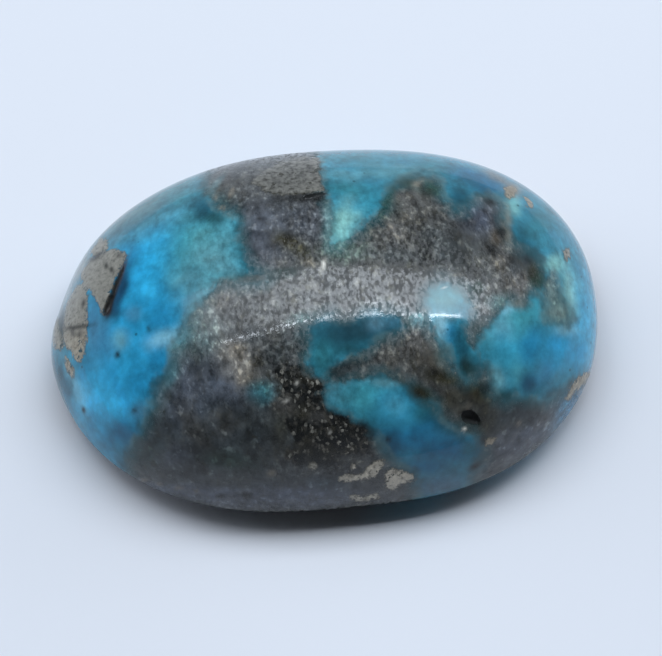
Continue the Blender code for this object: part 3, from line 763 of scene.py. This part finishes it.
class Graph:
    """A tree of nodes, made one call each. A call gives the new node's output, to be fed to others."""

    def __init__(self, owner):
        owner.use_nodes = True
        self.tree = owner.node_tree

    def feed(self, socket, value):
        if isinstance(value, bpy.types.NodeSocket):
            self.tree.links.new(value, socket)
        else:
            socket.default_value = value

    def put(self, name, inputs):
        """Feeds a node that the tree has from the start."""
        for socket, value in inputs.items():
            self.feed(self.tree.nodes[name].inputs[socket], value)

    def node(self, kind, inputs=(), output=0, **settings):
        made = self.tree.nodes.new(kind)
        for name, value in settings.items():
            setattr(made, name, value)
        for socket, value in dict(inputs).items():
            self.feed(made.inputs[socket], value)
        return made.outputs[output]

    def maths(self, operation, *values, clamp=False):
        return self.node("ShaderNodeMath", enumerate(values), operation=operation, use_clamp=clamp)

    def product(self, first, second):
        return self.maths("MULTIPLY", first, second)

    def total(self, first, second):
        return self.maths("ADD", first, second)

    def ranged(self, value, low, high, to_low, to_high, **settings):
        """The value's range from low to high, moved to that from to_low to to_high."""
        inputs = {"Value": value, "From Min": low, "From Max": high, "To Min": to_low, "To Max": to_high}
        return self.node("ShaderNodeMapRange", inputs, **settings)

    def step(self, value, low, high, to_low=0.0, to_high=1.0):
        """A smooth step of the value from to_low at low to to_high at high."""
        return self.ranged(value, low, high, to_low, to_high, interpolation_type="SMOOTHSTEP")

    def sway(self, cloud, size):
        """Noise as a shift from -size to size where it's between its usual ends, and on beyond them."""
        return self.ranged(cloud, *NOISE_ENDS, -size, size, clamp=False)

    def mix(self, share, first, second, blend_type="MIX"):
        """The first colour, with this share of the second."""
        inputs = {0: share, 6: first, 7: second}
        return self.node("ShaderNodeMix", inputs, 2, data_type="RGBA", blend_type=blend_type)

    def mix_number(self, share, first, second):
        return self.node("ShaderNodeMix", {0: share, 2: first, 3: second}, data_type="FLOAT")

    def tinged(self, tint, share, factors):
        """The colour, with its red, green and blue changed by these factors, in this share."""
        return self.mix(share, tint, self.mix(1.0, tint, (*factors, 1.0), "MULTIPLY"))

    def varied(self, tint, cloud, gain):
        """The colour, lighter where the noise is above its middle of 0.5 and darker where it's below."""
        factor = self.maths("MULTIPLY_ADD", self.maths("SUBTRACT", cloud, 0.5), gain, 1.0)
        return self.node("ShaderNodeVectorMath", {0: tint, "Scale": factor}, operation="SCALE")

    def stored(self, name, output="Fac"):
        return self.node("ShaderNodeAttribute", output=output, attribute_name=name)

    def places(self, stretch=(1.0, 1.0, 1.0), offset=(0.0, 0.0, 0.0)):
        """Positions on the object in mm, each way times its stretch and moved by the offset."""
        where = self.node("ShaderNodeTexCoord", output="Object")
        inputs = {"Vector": where, "Location": offset, "Scale": [part / MM for part in stretch]}
        return self.node("ShaderNodeMapping", inputs)

    def cloud(self, places, waves, detail=2.0, roughness=0.5):
        """Soft noise from 0 to 1, with this many waves to a mm."""
        inputs = {"Vector": places, "Scale": waves, "Detail": detail, "Roughness": roughness}
        return self.node("ShaderNodeTexNoise", inputs)

    def grains(self, places, grains_to_mm, distance="EUCLIDEAN"):
        """Grains: a random number for each, and how far a place is from the grain's middle."""
        inputs = {"Vector": places, "Scale": grains_to_mm}
        reach = self.node("ShaderNodeTexVoronoi", inputs, "Distance", distance=distance)
        return self.node("ShaderNodeSeparateColor", {"Color": reach.node.outputs["Color"]}), reach


def colour(name, shade=1.0):
    return (*(linear(name) * shade), 1.0)


def where_minerals_are(graph, places, drawn_out, grain, smooth):
    """The depths inside turquoise, pyrite and dark rock in mm: drawn where they're seen, from noise elsewhere."""
    broken = graph.total(graph.sway(grain, 0.05), graph.sway(graph.cloud(places, 1.7), 0.14))
    broken = graph.product(broken, graph.mix_number(smooth, 1.0, 0.5))
    seen = graph.stored("seen")
    return [
        graph.total(graph.mix_number(seen, elsewhere, graph.stored(name)), ragged)
        for name, elsewhere, ragged in (
            ("turquoise", graph.step(graph.cloud(places, 0.16, 3.0), 0.40, 0.64, -1.0, 1.0), broken),
            ("pyrite", graph.step(graph.cloud(places, 0.45), 0.66, 0.74, -1.0, 0.4), graph.sway(grain, 0.10)),
            ("dark", graph.step(graph.cloud(drawn_out, 0.3), 0.60, 0.70, -1.0, 0.6),
             graph.sway(graph.cloud(places, 1.4, 3.0, 0.6), 0.45)),
        )
    ]


def rock_colour(graph, drawn_out, smooth, salt, turquoise):
    """Grey rock: clouded, grainy where it isn't smooth, and greener next to the turquoise."""
    rock = graph.stored("rock_tint", "Color")
    rock = graph.varied(rock, graph.cloud(drawn_out, 0.8, 3.0, 0.6), graph.mix_number(smooth, 1.9, 2.5))
    rock = graph.varied(rock, graph.cloud(drawn_out, 2.4, 4.0, 0.6), graph.mix_number(smooth, 2.6, 2.8))
    warmth = graph.cloud(drawn_out, 1.7, 3.0, 0.65)
    rock = graph.tinged(rock, graph.step(warmth, 0.50, 0.68, 0.0, 0.7), WARMER_ROCK)
    rock = graph.tinged(rock, graph.step(warmth, 0.48, 0.32, 0.0, 0.6), COOLER_ROCK)
    least = graph.mix_number(smooth, 0.52, 0.57)
    light = graph.step(salt, least, graph.total(least, 0.14), 0.0, graph.mix_number(smooth, 0.72, 0.7))
    rock = graph.tinged(rock, light, LIGHT_GRAINS)
    most = graph.mix_number(smooth, 0.47, 0.40)
    pitted = graph.step(salt, most, graph.total(most, -0.10), 0.0, graph.mix_number(smooth, 0.6, 0.55))
    rock = graph.tinged(rock, pitted, DARK_GRAINS)
    blot = graph.step(graph.cloud(drawn_out, 1.35, 4.0, 0.7), 0.60, 0.70, 0.0, 0.55)
    rock = graph.mix(blot, rock, colour("olive", 0.8))
    rock = graph.mix(graph.step(turquoise, -0.8, 0.0, 0.0, 0.35), rock, colour("sea"))
    rim = graph.product(graph.step(turquoise, -0.45, -0.02), graph.step(warmth, 0.36, 0.60))
    return graph.mix(graph.product(rim, 0.35), rock, colour("pine"))


def charred_colour(graph, places, grain, salt):
    """Dark rock: nearly black to dark brown, with a little grain."""
    charred = graph.mix(graph.step(graph.cloud(places, 1.3, 3.0), 0.44, 0.70), colour("char"), colour("umber"))
    charred = graph.varied(charred, grain, 2.6)
    return graph.mix(graph.step(salt, 0.50, 0.66, 0.0, 0.45), charred, colour("taupe"))


def turquoise_colour(graph, places, smooth, depth):
    """Turquoise: its tints clouded, hazier or darker at its edges, and with a few dark specks."""
    stone = graph.stored("turquoise_tint", "Color")
    hue = graph.cloud(places, 0.75, 3.0, 0.55)
    stone = graph.tinged(stone, graph.step(hue, 0.50, 0.66, 0.0, 0.3), GREENER_TURQUOISE)
    stone = graph.tinged(stone, graph.step(hue, 0.48, 0.32, 0.0, 0.4), BLUER_TURQUOISE)
    stone = graph.varied(stone, graph.cloud(graph.places(offset=(7.0, 3.0, 5.0)), 1.3, 4.0, 0.6), 1.3)
    streaks = graph.cloud(graph.places(DRAWN_OUT, (4.0, 6.0, 1.0)), 3.2, 3.0, 0.65)
    stone = graph.varied(stone, streaks, graph.mix_number(smooth, 1.6, 0.35))
    rim = graph.product(graph.step(depth, 0.30, 0.0), graph.step(hue, 0.44, 0.60))
    stone = graph.mix(graph.product(rim, 0.45), stone, colour("haze"))
    rim = graph.product(graph.step(depth, 0.40, 0.0), graph.step(hue, 0.52, 0.38))
    stone = graph.mix(graph.product(rim, 0.6), stone, colour("dark_teal"))
    number, reach = graph.grains(places, 1.6)
    speck = graph.product(graph.maths("GREATER_THAN", number, 0.86), graph.step(reach, 0.16, 0.07))
    return graph.mix(graph.product(speck, 0.6), stone, colour("dark_teal", 0.7))


def metal_cover(graph, places, drawn_out, smooth, turquoise, pyrite, dark):
    """How much of the surface is metal: lumps of pyrite with dark gaps, and grains that are thick in dark rock."""
    solid = graph.maths("MULTIPLY_ADD", smooth, 0.09, graph.step(pyrite, 0.0, 0.5, 0.52, 0.60))
    gap = graph.step(graph.cloud(places, 2.6, 3.0, 0.65), solid, graph.total(solid, 0.07))
    lump = graph.product(graph.step(pyrite, -0.07, 0.07), graph.maths("SUBTRACT", 1.0, gap))
    fleck = graph.cloud(drawn_out, 7.4, 1.5)
    least = graph.total(graph.sway(graph.cloud(places, 1.6), -0.09), 0.70)
    least = graph.maths("MULTIPLY_ADD", smooth, 0.12, least)
    spot = graph.step(fleck, least, graph.total(least, 0.22), 0.0, 0.9)
    number, reach = graph.grains(drawn_out, 4.6, "MANHATTAN")
    reach = graph.total(reach, graph.sway(fleck, -0.3))
    crystal = graph.product(graph.step(number, 0.05, 0.95), graph.step(reach, 0.62, 0.30))
    crystal = graph.product(crystal, graph.step(dark, -0.25, 0.25))
    crystal = graph.product(crystal, graph.mix_number(smooth, 1.0, 0.3))
    spot = graph.product(graph.maths("MAXIMUM", spot, crystal), graph.step(turquoise, 0.0, -0.1))
    return graph.maths("MAXIMUM", lump, spot, clamp=True)


def metal_colour(graph, places, smooth):
    """Pyrite that has dulled to grey and tan, with its grains lighter and darker."""
    mottle = graph.cloud(places, 4.6, 3.0, 0.7)
    metal = graph.varied(graph.stored("pyrite_tint", "Color"), mottle, graph.mix_number(smooth, 3.4, 1.2))
    dull = graph.step(mottle, 0.44, 0.36, 0.0, graph.mix_number(smooth, 0.5, 0.2))
    return graph.mix(dull, metal, colour("olive"))


def stone_material():
    material = bpy.data.materials.new("turquoise_in_matrix")
    graph = Graph(material)
    places = graph.places()
    drawn_out = graph.places(DRAWN_OUT)
    grain = graph.cloud(drawn_out, 4.3, 3.0, 0.75)
    elsewhere = graph.step(graph.cloud(places, 0.22), 0.46, 0.58)
    smooth = graph.mix_number(graph.stored("seen"), elsewhere, graph.stored("smooth"))
    salt = graph.cloud(graph.places((1.0, 0.7, 1.0), (3.0, 1.0, 9.0)), 4.7)
    salt = graph.mix_number(smooth, salt, graph.cloud(drawn_out, 3.0))
    turquoise, pyrite, dark = where_minerals_are(graph, places, drawn_out, grain, smooth)
    softness = graph.step(graph.cloud(places, 0.6, 1.0), 0.40, 0.62, 0.10, 0.26)
    softness = graph.maths("MULTIPLY_ADD", smooth, 0.28, softness)
    in_turquoise = graph.step(turquoise, graph.product(softness, -1.0), softness)
    rock = rock_colour(graph, drawn_out, smooth, salt, turquoise)
    rock = graph.mix(graph.step(dark, -0.35, 0.25), rock, charred_colour(graph, places, grain, salt))
    metal = metal_cover(graph, places, drawn_out, smooth, turquoise, pyrite, dark)
    base = graph.mix(in_turquoise, rock, turquoise_colour(graph, places, smooth, turquoise))
    base = graph.mix(graph.step(pyrite, -0.12, 0.05, 0.0, 0.8), base, colour("olive"))
    base = graph.mix(metal, base, metal_colour(graph, places, smooth))
    base = graph.mix(graph.stored("marked"), base, graph.varied(graph.stored("mark", "Color"), grain, 2.0))
    # Painted shade: the pits darkened towards their bottoms.
    base = graph.mix(graph.product(graph.stored("sunk"), 0.75), base, colour("char"))

    # The rock's light grains gleam, and its soft ones and the bottoms of the pits take no polish.
    coarse = graph.product(graph.maths("SUBTRACT", 1.0, in_turquoise), graph.mix_number(smooth, 1.0, 0.3))
    fine = graph.cloud(graph.places(DRAWN_OUT, (6.0, 3.0, 2.0)), 5.8, 3.0, 0.6)
    gleam = graph.product(graph.step(fine, 0.44, 0.66, 0.0, 0.36), coarse)
    dulled = graph.product(graph.step(fine, 0.55, 0.42, 0.0, 0.36), coarse)
    polish = graph.total(graph.mix_number(in_turquoise, 0.11, 0.08), dulled)
    polish = graph.maths("MAXIMUM", polish, graph.product(graph.stored("sunk"), 0.7))

    # The polish cuts the minerals unevenly and leaves small pits, which break up the reflections.
    waves = graph.cloud(graph.places((1.0, 0.8, 1.0), (2.0, 8.0, 4.0)), 2.2, 1.5)
    relief = graph.product(waves, graph.mix_number(in_turquoise, 2.2, 1.2))
    relief = graph.maths("MULTIPLY_ADD", graph.product(fine, coarse), 3.6, relief)
    relief = graph.maths("MULTIPLY_ADD", metal, 2.0, relief)
    graph.put("Principled BSDF", {
        "Base Color": base,
        "Coat Weight": gleam,
        "Metallic": graph.product(metal, 0.35),
        "Roughness": graph.mix_number(metal, polish, 0.36),
        "IOR": REFRACTIVE_INDEX,
        "Normal": graph.node("ShaderNodeBump", {"Height": relief, "Strength": 1.0, "Distance": RELIEF_HEIGHT}),
    })
    return material


def floor_material():
    material = bpy.data.materials.new("pale_floor")
    graph = Graph(material)
    tone = graph.mix(graph.cloud(graph.places(), 0.02, 1.0), *FLOOR_TONES)
    graph.put("Principled BSDF", {"Base Color": tone, **FLOOR_GLOSS})
    return material


# The scene.

def placed(name, data):
    made = bpy.data.objects.new(name, data)
    bpy.context.scene.collection.objects.link(made)
    return made


def make_stone():
    mesh = stone_mesh()
    mesh.materials.append(stone_material())
    stone = placed("turquoise_stone", mesh)
    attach(stone, "root")
    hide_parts(NODE)


def make_floor():
    shape = bmesh.new()
    bmesh.ops.create_grid(shape, x_segments=1, y_segments=1, size=FLOOR_SIZE / 2)
    mesh = mesh_from("floor", shape)
    mesh.materials.append(floor_material())
    floor = placed("floor", mesh)
    floor.location.z = -FLOOR_DROP


def make_panel(name, middle, size, turn, radiance, left_share=1.0, mirrored=True):
    """A level panel over the stone. The deeper it is, the lower it hangs."""
    light = bpy.data.lights.new(name, "AREA")
    light.shape = "RECTANGLE"
    light.size, light.size_y = (side * LIGHT_HEIGHT for side in size)
    light.energy = radiance * math.pi * light.size * light.size_y
    light.color = LIGHT_COLOUR
    graph = Graph(light)
    across = graph.node("ShaderNodeNewGeometry", output="Parametric")
    across = graph.node("ShaderNodeSeparateXYZ", {0: across})
    graph.put("Emission", {"Strength": graph.ranged(across, 0.0, PANEL_FADE, left_share, 1.0)})
    panel = placed(name, light)
    panel.location = [part * LIGHT_HEIGHT for part in (*middle, 1 - PANEL_DROP * size[1])]
    panel.rotation_euler = (0, 0, math.radians(turn))
    panel.visible_glossy = mirrored


def make_world():
    """Walls that light the scene from behind, most of all from the two corners. The stone mirrors others."""
    world = bpy.data.worlds.new("studio")
    graph = Graph(world)
    towards = graph.node("ShaderNodeTexCoord", output="Generated")
    x, y, z = graph.node("ShaderNodeSeparateXYZ", {0: towards}).node.outputs
    sideways = graph.step(graph.maths("ABSOLUTE", x), *CORNERS_SIDEWAYS)
    walls = graph.maths("MULTIPLY_ADD", sideways, graph.step(y, *BACK_CORNERS), graph.step(y, *BACK_WALL))
    mirrored = graph.node("ShaderNodeLightPath", output="Is Glossy Ray")
    strength = graph.mix_number(mirrored, walls, graph.step(z, *MIRRORED_WALLS))
    graph.put("Background", {"Color": WORLD_COLOUR, "Strength": strength})
    bpy.context.scene.world = world
    bpy.context.scene.view_settings.view_transform = "Standard"


def make_camera():
    right, up, back = (Vector(axis) for axis in view_axes())
    data = bpy.data.cameras.new("camera")
    data.lens = VIEW_LENS
    data.sensor_width = SENSOR_WIDTH
    data.clip_start = NEAREST_SEEN
    camera = placed("camera", data)
    middle = Vector((0, 0, HEIGHT / 2)) + PICTURE_MIDDLE[0] * right + PICTURE_MIDDLE[1] * up
    camera.location = middle + VIEW_DISTANCE * back
    camera.rotation_mode = "QUATERNION"
    camera.rotation_quaternion = (-back).to_track_quat("-Z", "Y")
    bpy.context.scene.camera = camera


noise.seed_set(NOISE_SEED)
make_stone()
make_floor()
for name, settings in PANELS.items():
    make_panel(name, **settings)
make_world()
make_camera()
